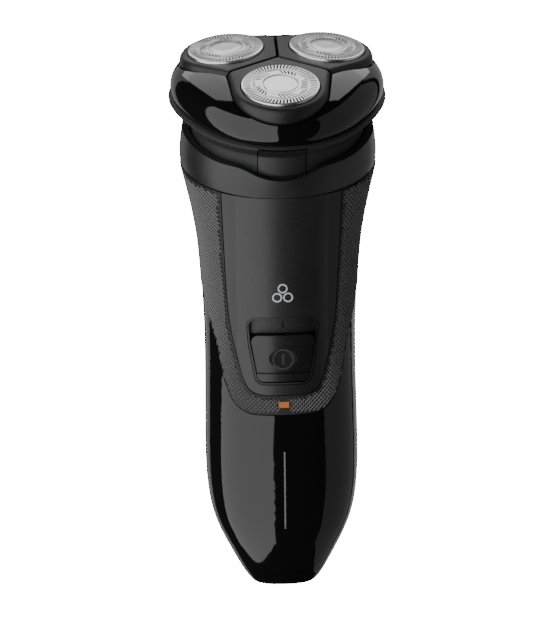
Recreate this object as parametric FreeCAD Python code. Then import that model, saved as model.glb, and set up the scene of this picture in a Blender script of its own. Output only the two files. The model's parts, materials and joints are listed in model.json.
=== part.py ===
import FreeCAD, Part
import math
import os

# Electric shaver with three rotary cutters on a pivoting, hinged head.
# Millimetres. The origin is the centre of the flat base, +Z is up, the front faces -Y
# and +X is on the right of someone who looks at the front.

V = FreeCAD.Vector
X_AXIS = V(1, 0, 0)
Y_AXIS = V(0, 1, 0)
Z_AXIS = V(0, 0, 1)
FAR = 100.0

# ---- driving dimensions: handle ----
HEAD_TILT = 17.3            # degrees the head leans forward
HEAD_CENTRE = V(0, -8.0, 167.5)
SEAM_DEPTH = 32.0           # from the cutter tops down the head axis to the collar seam
WALL = 2.6
SKIN = 1.2                  # thickness of the grip and the front panel
SEAM_GAP = 0.25
BASE_CAP_HEIGHT = 5.0
SECTION_POINTS = 40
PARTING_LOW = 0.5           # y of the parting face between the housings at the base
PARTING_HIGH = 4.0          # and at the collar

# ---- driving dimensions: head, measured along its own axis from the cutter tops ----
CUTTER_CIRCLE = 17.6        # spindle axes from the head axis
CUTTER_LEAN = 5.0           # degrees each cutter faces outwards
CAP_RADIUS = 11.4
HOLDER_TOP = -0.8
HOLDER_SKIRT = -6.9
HOLDER_WALL = 1.3
HOLDER_GAP = 0.35           # half of the gap between two holders
LEDGE = -8.2
RIM = -12.3                 # lower edge of the top frame
NECK_TOP = -12.5
PIVOT = -24.0               # height of the neck's pivot
BALL_RADIUS = 26.3          # ball-shaped skirt of the neck round the pivot
COLLAR_CLEARANCE = 0.6
HINGE_Y = 31.4              # head hinge pin behind the top frame
HINGE_W = -12.4
PETAL_ANGLES = (-90.0, 30.0, 150.0)
PETAL_NAMES = ("front", "right", "left")

# ---- driving dimensions: drive ----
GEAR_MODULE = 0.8
CENTRAL_TEETH = 26
PLANET_TEETH = 18
PRESSURE_ANGLE = math.radians(25)
BACKLASH = 0.16
GEAR_LOW = -16.2
GEAR_HIGH = -13.7

# Handle sections from the base to the collar seam:
# spine height, spine y, half width, depth in front, depth behind, roundness, tilt in degrees
SEAM_POINT = HEAD_CENTRE - V(0, -math.sin(math.radians(HEAD_TILT)),
                             math.cos(math.radians(HEAD_TILT))) * SEAM_DEPTH
STATIONS = (
    (0.0, 0.0, 10.5, 9.0, 9.0, 2.6, 0.0),
    (3.8, 0.2, 13.3, 11.2, 11.0, 2.5, 0.0),
    (8.5, 0.5, 15.9, 13.3, 12.9, 2.4, 0.0),
    (17.8, 1.2, 20.5, 16.6, 15.8, 2.35, 0.0),
    (27.0, 1.9, 23.2, 18.9, 17.6, 2.3, 0.0),
    (38.0, 2.6, 24.2, 20.5, 18.5, 2.3, 0.0),
    (59.0, 3.5, 24.0, 21.6, 18.6, 2.3, 0.0),
    (77.0, 3.9, 23.7, 22.0, 18.6, 2.3, 2.0),
    (98.0, 3.6, 24.2, 22.7, 19.8, 2.3, 8.0),
    (116.0, 2.4, 25.6, 24.2, 22.6, 2.3, 13.5),
    (129.0, 1.7, 28.0, 26.3, 25.6, 2.25, 16.5),
    (SEAM_POINT.z, SEAM_POINT.y, 29.8, 28.0, 28.0, 2.2, HEAD_TILT),
)

HEAD = FreeCAD.Placement(HEAD_CENTRE, FreeCAD.Rotation(X_AXIS, HEAD_TILT))


# ---------------------------------------------------------------- small tools

def signed_power(value, power):
    return math.copysign(abs(value) ** power, value)


def box(x0, x1, y0, y1, z0, z1):
    return Part.makeBox(x1 - x0, y1 - y0, z1 - z0, V(x0, y0, z0))


def cylinder(radius, start, length, axis=Z_AXIS):
    return Part.makeCylinder(radius, length, start, axis)


def disc(radius, low, high):
    return cylinder(radius, V(0, 0, low), high - low)


def ring(outer, inner, low, high):
    return disc(outer, low, high).cut(disc(inner, low - 1, high + 1))


def prism(points, start, direction):
    """A straight prism of the closed polygon of points."""
    outline = Part.makePolygon(list(points) + [points[0]])
    solid = Part.Face(outline).extrude(direction)
    solid.translate(start)
    return solid


def front_prism(outline, y0, y1):
    """A prism along Y of an outline of (x, z) points."""
    return prism([V(x, 0, z) for x, z in outline], V(0, y0, 0), V(0, y1 - y0, 0))


def side_prism(outline, x0, x1):
    """A prism along X of an outline of (y, z) points."""
    return prism([V(0, y, z) for y, z in outline], V(x0, 0, 0), V(x1 - x0, 0, 0))


def hexagon(across_flats, low, high):
    radius = across_flats / math.sqrt(3)
    corners = []
    for step in range(6):
        angle = math.radians(60 * step)
        corners.append(V(radius * math.cos(angle), radius * math.sin(angle), low))
    return prism(corners, V(0, 0, 0), V(0, 0, high - low))


def fused(shapes):
    whole = shapes[0]
    for shape in shapes[1:]:
        whole = whole.fuse(shape)
    return whole.removeSplitter()


def placed(shape, placement):
    moved = shape.copy()
    moved.Placement = placement.multiply(shape.Placement)
    return moved


def in_head(shape):
    """From the head's own frame (Z along the head axis, 0 at the cutter tops)."""
    return placed(shape, HEAD)


def polar(radius, degrees, w=0.0):
    angle = math.radians(degrees)
    return V(radius * math.cos(angle), radius * math.sin(angle), w)


def save(name, shape):
    solids = shape.Solids
    if not shape.isValid() or not solids:
        print("CHECK", name, "valid", shape.isValid(), "solids", len(solids))
    out = solids[0] if len(solids) == 1 else Part.makeCompound(solids)
    out.exportStep("parts/" + name + ".step")
    print(name, len(solids), "solids", round(shape.Volume, 1), "mm3")


# ---------------------------------------------------------------- handle surfaces

def section_wire(station, inset):
    z, y, half_width, front, back, roundness, tilt = station
    lean = math.radians(tilt)
    points = []
    for step in range(SECTION_POINTS):
        angle = 2 * math.pi * step / SECTION_POINTS
        across = (half_width - inset) * signed_power(math.cos(angle), 2 / roundness)
        reach = back if math.sin(angle) > 0 else front
        depth = (reach - inset) * signed_power(math.sin(angle), 2 / roundness)
        points.append(V(across, y + depth * math.cos(lean), z + depth * math.sin(lean)))
    curve = Part.BSplineCurve()
    curve.interpolate(Points=points, PeriodicFlag=True)
    return Part.Wire(curve.toShape())


def handle_solid(inset):
    """The handle's outer form, drawn in all round by inset."""
    return Part.makeLoft([section_wire(station, inset) for station in STATIONS], True, False)


def handle_layer(outer_inset, inner_inset):
    return handle_solid(outer_inset).cut(handle_solid(inner_inset))


# ---------------------------------------------------------------- handle outlines

GRIP_BOTTOM = 59.9
GRIP_TOP = 160.0
SIDE_GRIP_LOW = 97.0
PANEL_BOTTOM = 66.3
RECESS_TOP = 90.9
RECESS_BOTTOM = 69.4
RECESS_TOP_HALF = 11.2
RECESS_BOTTOM_HALF = 8.5
RECESS_MIDDLE = 82.0
RECESS_MIDDLE_HALF = 10.6
RECESS_CORNER = 3.0
LED_HEIGHT = 63.1
LED_WIDTH = 3.2
LED_TALL = 1.9
SLIDER_LOW = 70.5
SLIDER_HIGH = 85.2
DECK_LOW = -34.0
DECK_HIGH = -32.0
MOTOR_RADIUS = 9.5
MOTOR_TOP = -35.5
MOTOR_LENGTH = 20.0
SHAFT_RADIUS = 1.0
BATTERY_RADIUS = 7.2
BATTERY_LOW = 14.0
BATTERY_LENGTH = 50.0
BATTERY_Y = 3.0
FRAME_FRONT = -7.8
FRAME_BACK = -5.8
BOARD_FRONT = -10.4
BOARD_BACK = -8.8
HOUSING_SCREW_X = 10.0
HOUSING_SCREW_Z = 66.0
HOUSING_SCREW_HEAD = 18.2
RUNNING = 0.05              # radial clearance of a pin that turns in its hole


def rounded_face(points, radius):
    """A face of a closed polygon whose outward corners are rounded."""
    face = Part.Face(Part.makePolygon(list(points) + [points[0]]))
    return face.makeOffset2D(-radius).makeOffset2D(radius)


def panel_outline(growth):
    """Inner edge of the grip: (x, z) down the right side and round the bottom."""
    side = ((17.9, 145.0), (17.6, 126.0), (16.9, 105.0), (16.2, 92.0), (15.0, 83.5), (13.2, 75.5))
    foot = ((11.8, 70.5), (10.0, 67.7), (7.0, 66.5), (0.0, PANEL_BOTTOM))
    return mirrored_outline(side + foot, growth)


def grip_outline(growth):
    """Outer edge of the grip, down to where it joins under the switch."""
    side = ((40.0, GRIP_TOP), (40.0, 101.0), (24.6, 99.0), (23.2, 94.0), (19.6, 79.5), (18.0, 70.8))
    foot = ((16.6, 66.4), (14.6, 62.8), (11.0, 60.6), (6.0, GRIP_BOTTOM + 0.1), (0.0, GRIP_BOTTOM))
    return mirrored_outline(side + foot, growth)


def mirrored_outline(right_side, growth):
    """A smooth closed outline in the XZ plane, mirrored left to right and grown all round."""
    right = [V(x + growth if x else 0, 0, z) for x, z in right_side]
    for point in right[-3:]:
        point.z -= growth
    left = [V(-point.x, 0, point.z) for point in reversed(right[:-1])]
    curve = Part.BSplineCurve()
    curve.interpolate(right + left)
    top = Part.makeLine(left[-1], right[0])
    return Part.Face(Part.Wire([curve.toShape(), top]))


def straight_outline(right_side, growth):
    points = [V(x + growth, 0, z) for x, z in right_side]
    points += [V(-point.x, 0, point.z) for point in reversed(points)]
    return points


def forward_prism(face, y0, y1):
    solid = face.copy()
    solid.translate(V(0, y0, 0))
    return solid.extrude(V(0, y1 - y0, 0))


def recess_prism(growth, y0, y1):
    points = straight_outline(((RECESS_TOP_HALF, RECESS_TOP + growth), (RECESS_MIDDLE_HALF, RECESS_MIDDLE),
                               (RECESS_BOTTOM_HALF, RECESS_BOTTOM - growth)), growth)
    return forward_prism(rounded_face(points, RECESS_CORNER + growth), y0, y1)


def side_grip_region(growth):
    outline = [(0.0, SIDE_GRIP_LOW - growth), (6.5, 104.5 - growth), (10.5 + growth, 116.0),
               (12.5 + growth, 132.0), (13.0 + growth, GRIP_TOP), (0.0, GRIP_TOP)]
    return side_prism(outline, -FAR, FAR)


def grip_region(growth):
    front = forward_prism(grip_outline(growth), -FAR / 2, 2.0)
    return front.fuse(side_grip_region(growth))


def panel_region(growth):
    return forward_prism(panel_outline(growth), -FAR / 2, 0.0)


def parting_prism(front, gap):
    """Everything in front of (or behind) the parting face, which leans with the handle."""
    sign = -1 if front else 1
    low = PARTING_LOW + sign * gap
    high = PARTING_HIGH + sign * gap
    outline = [(low, -5.0), (high, GRIP_TOP), (sign * FAR, GRIP_TOP), (sign * FAR, -5.0)]
    return side_prism(outline, -FAR, FAR)


def led_prism(growth, y0, y1):
    half_width = LED_WIDTH / 2 + growth
    half_tall = LED_TALL / 2 + growth
    return box(-half_width, half_width, y0, y1, LED_HEIGHT - half_tall, LED_HEIGHT + half_tall)


# ---------------------------------------------------------------- handle pieces

TRIMMER_HALF = 11.0
TRIMMER_LOW = 98.0
TRIMMER_HIGH = 134.0
TRIMMER_FLOOR = 19.2
TRIMMER_PIN_RADIUS = 0.8
TRIMMER_HINGE = V(0, TRIMMER_FLOOR + 2.2, TRIMMER_LOW + 2.6)
LATCH_LOW = 76.0
LATCH_HIGH = 92.0


def trimmer_pin():
    reach = TRIMMER_HALF + 1.3
    return cylinder(TRIMMER_PIN_RADIUS, TRIMMER_HINGE - V(reach, 0, 0), 2 * reach, X_AXIS)


def build_housings():
    shell = handle_layer(0, WALL)
    overlay = handle_layer(-1.0, SKIN)
    pocket = overlay.common(grip_region(SEAM_GAP).fuse(panel_region(SEAM_GAP * 2)))
    shell = shell.cut(pocket)
    above_cap = box(-FAR, FAR, -FAR, FAR, BASE_CAP_HEIGHT + 0.1, FAR * 2)
    shell = shell.common(above_cap)
    shell = shell.cut(recess_prism(0.2, -FAR / 2, 0))
    shell = shell.cut(led_prism(0.2, -FAR / 2, 0))
    front = shell.common(parting_prism(True, 0.0))
    rear = shell.common(parting_prism(False, 0.0))
    rear = rear.cut(box(-TRIMMER_HALF - 0.2, TRIMMER_HALF + 0.2, TRIMMER_FLOOR - 2, FAR / 2,
                        TRIMMER_LOW - 0.2, TRIMMER_HIGH + 0.2))
    rear = rear.cut(box(-4.2, 4.2, 10, FAR / 2, LATCH_LOW, LATCH_HIGH))
    for x in (-HOUSING_SCREW_X, HOUSING_SCREW_X):
        rear = rear.cut(cylinder(2.3, V(x, HOUSING_SCREW_HEAD, HOUSING_SCREW_Z), FAR, Y_AXIS))
        rear = rear.cut(cylinder(1.1, V(x, 0, HOUSING_SCREW_Z), FAR, Y_AXIS))
    rear = rear.cut(trimmer_pin())
    save("front_housing", front)
    save("rear_housing", rear)


def build_base():
    """The base cap with the power inlet, its seal and its screws."""
    cap = handle_solid(0).common(box(-FAR, FAR, -FAR, FAR, 0, BASE_CAP_HEIGHT))
    cap = cap.makeFillet(0.8, [edge for edge in cap.Edges if edge.BoundBox.ZMax < 0.01])
    inlet = stadium_prism(SOCKET_WIDTH + 2.0, SOCKET_TALL + 2.0, -1, BASE_CAP_HEIGHT + 1)
    cap = cap.cut(inlet)
    for x in (-SCREW_SPREAD, SCREW_SPREAD):
        cap = cap.cut(disc(0.9, -1, BASE_CAP_HEIGHT + 1).translated(V(x, SCREW_Y, 0)))
        cap = cap.cut(disc(1.7, -1, 1.6).translated(V(x, SCREW_Y, 0)))
    save("base_cap", cap)

    body = stadium_prism(SOCKET_WIDTH + 2.0, SOCKET_TALL + 2.0, 0.3, 10.4)
    body = body.cut(stadium_prism(SOCKET_WIDTH, SOCKET_TALL, 0, 8.6))
    pins = []
    for x in (-PIN_SPREAD, PIN_SPREAD):
        body = body.cut(disc(PIN_RADIUS, 0, 12).translated(V(x, SOCKET_Y, 0)))
        pins.append(disc(PIN_RADIUS, 2.0, 11.6).translated(V(x, SOCKET_Y, 0)))
    save("power_inlet", body)
    save("inlet_pins", Part.makeCompound(pins))

    seal = handle_solid(WALL + 0.2).common(box(-FAR, FAR, -FAR, FAR, BASE_CAP_HEIGHT, BASE_CAP_HEIGHT + 1.2))
    seal = seal.cut(handle_solid(WALL + 1.4))
    save("base_seal", seal)

    screws = []
    for x in (-SCREW_SPREAD, SCREW_SPREAD):
        screws.append(pan_screw(1.6, 0.9, 1.2, 8.0).translated(V(x, SCREW_Y, 0.4)))
    save("base_screws", Part.makeCompound(screws))


SOCKET_WIDTH = 7.4
SOCKET_TALL = 3.8
SOCKET_Y = 4.3              # the inlet lies behind the middle of the base
PIN_SPREAD = 1.7
PIN_RADIUS = 0.55
SCREW_SPREAD = 7.4
SCREW_Y = -1.5


def stadium_prism(width, tall, low, high):
    radius = tall / 2
    straight = (width - tall) / 2
    middle = box(-straight, straight, SOCKET_Y - radius, SOCKET_Y + radius, low, high)
    ends = [disc(radius, low, high).translated(V(x, SOCKET_Y, 0)) for x in (-straight, straight)]
    return fused([middle] + ends)


def pan_screw(head_radius, shank_radius, head_height, length):
    """A cross-head screw, head down at 0, shank up +Z."""
    screw = disc(head_radius, 0, head_height).fuse(disc(shank_radius, head_height, length))
    cross = box(-head_radius * 0.6, head_radius * 0.6, -0.2, 0.2, -1, 0.5)
    cross = cross.fuse(box(-0.2, 0.2, -head_radius * 0.6, head_radius * 0.6, -1, 0.5))
    return screw.cut(cross)


def pointing_back(screw, start):
    """Turns a screw from +Z to +Y, with its head at start."""
    screw.rotate(V(0, 0, 0), X_AXIS, -90)
    return screw.translated(start)


def build_skins():
    """The grip, the front panel and the indicator window, flush with the housing."""
    skin = handle_layer(0, SKIN)
    grip = skin.common(grip_region(0)).cut(panel_region(SEAM_GAP))
    grip = grip.cut(led_prism(0.1, -FAR / 2, 0))
    save("grip", grip)
    panel = skin.common(panel_region(0)).cut(recess_prism(0.0, -FAR / 2, 0))
    save("front_panel", panel)
    window = handle_layer(0.1, WALL).common(led_prism(0, -FAR / 2, 0))
    save("indicator_window", window)


def build_switch():
    """The recessed tray and the slider with its ridge, concave face and lower lip."""
    floor_inset = 3.6
    step_inset = 1.8
    ridge_low = SLIDER_HIGH - 3.2
    lip_high = SLIDER_LOW + 2.4
    opening = recess_prism(-0.7, -FAR / 2, 0)
    above_slider = box(-FAR, FAR, -FAR, 0, SLIDER_HIGH + 0.3, FAR)
    tray = handle_layer(0.25, floor_inset + 1.0).common(recess_prism(-0.15, -FAR / 2, 0))
    tray = tray.cut(handle_layer(-2, step_inset).common(opening))
    tray = tray.cut(handle_layer(step_inset - 0.1, floor_inset).common(opening).cut(above_slider))
    stem_slot = box(-3.2, 3.2, -FAR / 2, 0, SLIDER_LOW + 3.0, SLIDER_HIGH - 1.0)
    tray = tray.cut(stem_slot)
    save("switch_tray", tray)

    side = straight_outline(((9.8, SLIDER_HIGH), (9.5, RECESS_MIDDLE), (7.7, SLIDER_LOW)), 0)
    outline = forward_prism(rounded_face(side, 2.0), -FAR / 2, 0)
    top_end = box(-FAR, FAR, -FAR, 0, ridge_low - 0.8, FAR)
    overhang = handle_layer(step_inset - 0.3, floor_inset + 1).common(top_end)
    slider = handle_layer(0.9, floor_inset - 0.3).common(outline).cut(overhang)
    ridge = box(-FAR, FAR, -FAR, 0, ridge_low, SLIDER_HIGH)
    lip = box(-FAR, FAR, -FAR, 0, SLIDER_LOW, lip_high)
    raised = handle_layer(-0.5, 1.5).common(outline).common(ridge)
    raised_lip = handle_layer(0.2, 1.5).common(outline).common(lip)
    slider = fused([slider, raised, raised_lip])
    scoop = cylinder(20.0, V(-FAR, -37.0, 77.3), 2 * FAR, X_AXIS)
    slider = slider.cut(scoop.common(box(-FAR, FAR, -FAR, 0, lip_high, ridge_low)))
    stem = box(-2.6, 2.6, -15.6, BOARD_FRONT - 1.0, 74.2, 78.2)
    slider = slider.fuse(stem).removeSplitter()
    save("power_slider", slider)


def build_electrics():
    frame = box(-14.0, 14.0, FRAME_FRONT, FRAME_BACK, 22.0, 100.0)
    for low in (BATTERY_LOW + 6, BATTERY_LOW + 36):
        cradle = box(-9.5, 9.5, FRAME_BACK, 3.0, low, low + 8)
        frame = frame.fuse(cradle.cut(cylinder(BATTERY_RADIUS + 0.05, V(0, BATTERY_Y, 0), FAR)))
    low = HOUSING_SCREW_Z - 2.0
    arch = box(-13.0, 13.0, FRAME_BACK, 7.0, low, low + 4).cut(box(-7.4, 7.4, FRAME_BACK, 7.0, low, low + 4))
    frame = frame.fuse(arch)
    for x in (-HOUSING_SCREW_X, HOUSING_SCREW_X):
        frame = frame.cut(cylinder(1.1, V(x, -FAR, HOUSING_SCREW_Z), 2 * FAR, Y_AXIS))
    board_holes = [(x, z) for x in (-9.5, 9.5) for z in (47.0, 93.0)]
    for x, z in board_holes:
        frame = frame.fuse(cylinder(1.8, V(x, BOARD_BACK, z), FRAME_FRONT - BOARD_BACK, Y_AXIS))
        frame = frame.cut(cylinder(0.9, V(x, BOARD_FRONT - 1, z), 4.5, Y_AXIS))
    save("inner_frame", frame)

    cell = cylinder(BATTERY_RADIUS, V(0, BATTERY_Y, BATTERY_LOW), BATTERY_LENGTH - 1.0)
    button = cylinder(2.6, V(0, BATTERY_Y, BATTERY_LOW + BATTERY_LENGTH - 1.0), 1.0)
    save("battery", cell.fuse(button).removeSplitter())

    board = box(-12.0, 12.0, BOARD_FRONT, BOARD_BACK, 44.0, 96.0)
    screws = []
    for x, z in board_holes:
        board = board.cut(cylinder(0.9, V(x, BOARD_FRONT - 1, z), 4, Y_AXIS))
        screws.append(pointing_back(pan_screw(1.7, 0.9, 1.0, 4.0), V(x, BOARD_FRONT - 1.0, z)))
    save("circuit_board", board)
    save("board_screws", Part.makeCompound(screws))
    long_screws = []
    for x in (-HOUSING_SCREW_X, HOUSING_SCREW_X):
        screw = pan_screw(2.2, 1.1, 1.4, 17.0)
        screw.rotate(V(0, 0, 0), X_AXIS, 90)
        long_screws.append(screw.translated(V(x, HOUSING_SCREW_HEAD + 1.4, HOUSING_SCREW_Z)))
    save("housing_screws", Part.makeCompound(long_screws))
    switch = box(-4.0, 4.0, BOARD_FRONT - 2.4, BOARD_FRONT, 72.0, 84.0)
    switch = switch.cut(box(-3.1, 3.1, -FAR, BOARD_FRONT - 0.5, 73.5, 82.5))
    save("slide_switch", switch)
    save("indicator_led", box(-0.9, 0.9, BOARD_FRONT - 1.2, BOARD_FRONT, LED_HEIGHT - 0.5, LED_HEIGHT + 0.5))


def build_motor():
    can = disc(MOTOR_RADIUS, MOTOR_TOP - MOTOR_LENGTH, MOTOR_TOP)
    collar = disc(3.0, MOTOR_TOP, MOTOR_TOP + 1.0)
    can = can.fuse(collar).cut(disc(SHAFT_RADIUS + 0.1, MOTOR_TOP - MOTOR_LENGTH + 2, 0))
    save("motor", in_head(can.removeSplitter()))
    shaft = disc(SHAFT_RADIUS, MOTOR_TOP - MOTOR_LENGTH + 3, -27.0)
    save("motor_shaft", in_head(shaft))
    driver = disc(2.2, -31.0, -26.8).fuse(disc(1.3, -26.8, -24.0))
    ball = Part.makeSphere(2.6, V(0, 0, PIVOT)).common(hexagon(4.4, PIVOT - 2.4, PIVOT + 2.4))
    driver = driver.fuse(ball).cut(disc(SHAFT_RADIUS, -40, -27.0)).removeSplitter()
    save("ball_driver", in_head(driver))
    bracket = ring(MOTOR_RADIUS + 1.6, MOTOR_RADIUS, MOTOR_TOP - 14, DECK_LOW)
    bracket = bracket.fuse(ring(MOTOR_RADIUS + 1.6, 4.0, MOTOR_TOP, DECK_LOW))
    save("motor_bracket", in_head(bracket.removeSplitter()))


# ---------------------------------------------------------------- trimmer at the back

COMB_BACK = TRIMMER_FLOOR + 4.4
BLADE_LOW = 127.5
COMB_TEETH = 15
TOOTH_PITCH = 1.3


def comb(teeth, half, y0, y1, z_root, z_tip):
    """A toothed blade: a plate with triangular-ended teeth pointing up."""
    plate = box(-half, half, y0, y1, BLADE_LOW, z_root)
    for index in range(teeth):
        x = (index - (teeth - 1) / 2) * TOOTH_PITCH
        outline = ((x - 0.42, z_root - 0.2), (x + 0.42, z_root - 0.2), (x + 0.18, z_tip), (x - 0.18, z_tip))
        plate = plate.fuse(front_prism(outline, y0, y1))
    return plate.removeSplitter()


def build_trimmer():
    half = TRIMMER_HALF - 0.3
    underside = TRIMMER_FLOOR + 0.8
    arm = handle_solid(0.2).common(box(-half, half, underside, FAR / 2, TRIMMER_HINGE.z, 126.8))
    arm = arm.cut(box(-half + 1.6, half - 1.6, 0, underside + 1.2, TRIMMER_HINGE.z + 4, 122.5))
    knuckle = cylinder(1.5, TRIMMER_HINGE - V(half, 0, 0), 2 * half, X_AXIS)
    stage = box(-half, half, underside + 1.0, COMB_BACK, 124.0, 130.0)
    arm = fused([arm, knuckle, stage])
    arm = arm.cut(cylinder(TRIMMER_PIN_RADIUS + RUNNING, TRIMMER_HINGE - V(FAR, 0, 0), 2 * FAR, X_AXIS))
    save("trimmer_arm", arm)
    save("trimmer_pin", trimmer_pin())
    save("trimmer_comb", comb(COMB_TEETH, half, COMB_BACK, COMB_BACK + 0.6, 131.0, 133.4))
    blade = comb(COMB_TEETH - 2, half - 1.3, COMB_BACK + 0.66, COMB_BACK + 1.1, 130.8, 132.9)
    save("trimmer_blade", blade)
    latch_region = box(-3.9, 3.9, 10, FAR / 2, LATCH_LOW + 0.3, LATCH_LOW + 9.5)
    latch = handle_layer(-0.5, 1.6).common(latch_region)
    for step in range(4):
        groove = box(-FAR, FAR, 0, FAR, LATCH_LOW + 2 + 1.8 * step, LATCH_LOW + 2.7 + 1.8 * step)
        latch = latch.cut(groove.common(handle_layer(-2, 0.1)))
    save("trimmer_latch", latch)
    pocket = box(-TRIMMER_HALF - 1.2, TRIMMER_HALF + 1.2, TRIMMER_FLOOR - 1.2, FAR / 2,
                 TRIMMER_LOW - 1.2, TRIMMER_HIGH + 1.2)
    tray = pocket.cut(box(-TRIMMER_HALF, TRIMMER_HALF, TRIMMER_FLOOR, FAR, TRIMMER_LOW, TRIMMER_HIGH))
    inner = handle_solid(WALL + 0.05)
    rim = handle_solid(0.15).common(box(-TRIMMER_HALF - 0.15, TRIMMER_HALF + 0.15, 0, FAR, TRIMMER_LOW - 0.15,
                                        TRIMMER_HIGH + 0.15))
    tray = tray.common(inner.fuse(rim))
    save("trimmer_tray", tray.cut(trimmer_pin()))


# ---------------------------------------------------------------- collar and neck

COLLAR_TOP = -21.0
COLLAR_FRONT_TOP = -22.6
NOTCH_HALF = 9.0
NOTCH_FLOOR = -24.7
TAB_HALF = 6.9
TAB_LOW = -25.2
TAB_HIGH = -13.4
SKIRT_LOW = -28.4
SKIRT_WALL = 1.7
CHAMBER_FLOOR = -16.9
CHAMBER_FLOOR_LOW = -18.2
TOWER_RADIUS = 17.0
TOWER_TOP = -20.6
GIMBAL_INNER = 18.4
GIMBAL_OUTER = 22.4
GIMBAL_HALF = 1.5
AXLE_REACH = 25.6
FLARE_LEVELS = ((NECK_TOP, 31.2, 1.5), (-14.2, 30.2, 1.1), (-16.0, 28.8, 0.6), (-17.6, 27.3, 0.2))
BALL_LEVELS = (-19.5, -21.0, -22.5, -24.0, -25.5, -27.0, SKIRT_LOW)


def lobed_wire(w, radius, lobe):
    """A circle that swells by lobe towards each cutter."""
    points = []
    for step in range(SECTION_POINTS + 8):
        angle = 2 * math.pi * step / (SECTION_POINTS + 8)
        reach = radius + lobe * math.cos(3 * (angle - math.radians(PETAL_ANGLES[0])))
        points.append(V(reach * math.cos(angle), reach * math.sin(angle), w))
    curve = Part.BSplineCurve()
    curve.interpolate(Points=points, PeriodicFlag=True)
    return Part.Wire(curve.toShape())


def lobed_solid(levels, inset=0.0):
    wires = [lobed_wire(w, radius - inset, lobe) for w, radius, lobe in levels]
    return Part.makeLoft(wires, True, False)


def oval_wire(w, half_width, front, back):
    points = []
    for step in range(SECTION_POINTS):
        angle = 2 * math.pi * step / SECTION_POINTS
        depth = back if math.sin(angle) > 0 else front
        across = half_width * signed_power(math.cos(angle), 2 / 2.1)
        points.append(V(across, depth * signed_power(math.sin(angle), 2 / 2.1), w))
    curve = Part.BSplineCurve()
    curve.interpolate(Points=points, PeriodicFlag=True)
    return Part.Wire(curve.toShape())


def build_collar():
    """The collar round the neck, its top edge dipping to a notch for the release tab."""
    wires = [oval_wire(-SEAM_DEPTH + 0.15, 29.8, 28.0, 28.0), oval_wire(-29.0, 29.9, 28.2, 28.2),
             oval_wire(-25.0, 29.5, 28.4, 28.4), oval_wire(COLLAR_TOP, 28.9, 28.3, 28.3)]
    collar = Part.makeLoft(wires, True, False)
    collar = collar.cut(Part.makeSphere(BALL_RADIUS + COLLAR_CLEARANCE, V(0, 0, PIVOT)))
    collar = collar.cut(disc(BALL_RADIUS + COLLAR_CLEARANCE - 0.6, -FAR, PIVOT))
    dip = ((NOTCH_HALF - 1.8, NOTCH_FLOOR), (NOTCH_HALF + 0.2, NOTCH_FLOOR + 0.9),
           (NOTCH_HALF + 2.4, COLLAR_FRONT_TOP - 0.3), (18.0, COLLAR_FRONT_TOP + 0.2),
           (27.0, COLLAR_TOP - 0.3), (34.0, COLLAR_TOP - 0.2))
    right = [V(x, 0, w) for x, w in dip]
    left = [V(-point.x, 0, point.z) for point in reversed(right)]
    curve = Part.BSplineCurve()
    curve.interpolate(left + right)
    roof = [V(34, 0, 0), V(-34, 0, 0)]
    outline = Part.Wire([curve.toShape(), Part.makeLine(right[-1], roof[0]), Part.makeLine(roof[0], roof[1]),
                         Part.makeLine(roof[1], left[0])])
    cutter = Part.Face(outline)
    cutter.translate(V(0, -FAR, 0))
    collar = collar.cut(cutter.extrude(V(0, FAR, 0)))
    save("collar", in_head(collar))


def neck_outer(inset):
    """The flare under the top frame, running on into the ball-shaped skirt."""
    levels = list(FLARE_LEVELS)
    for w in BALL_LEVELS:
        levels.append((w, math.sqrt(BALL_RADIUS ** 2 - (w - PIVOT) ** 2), 0.0))
    return lobed_solid(levels, inset)


def hinge_knuckles(radius, spans):
    return [cylinder(radius, V(x0, HINGE_Y, HINGE_W), x1 - x0, X_AXIS) for x0, x1 in spans]


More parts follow.
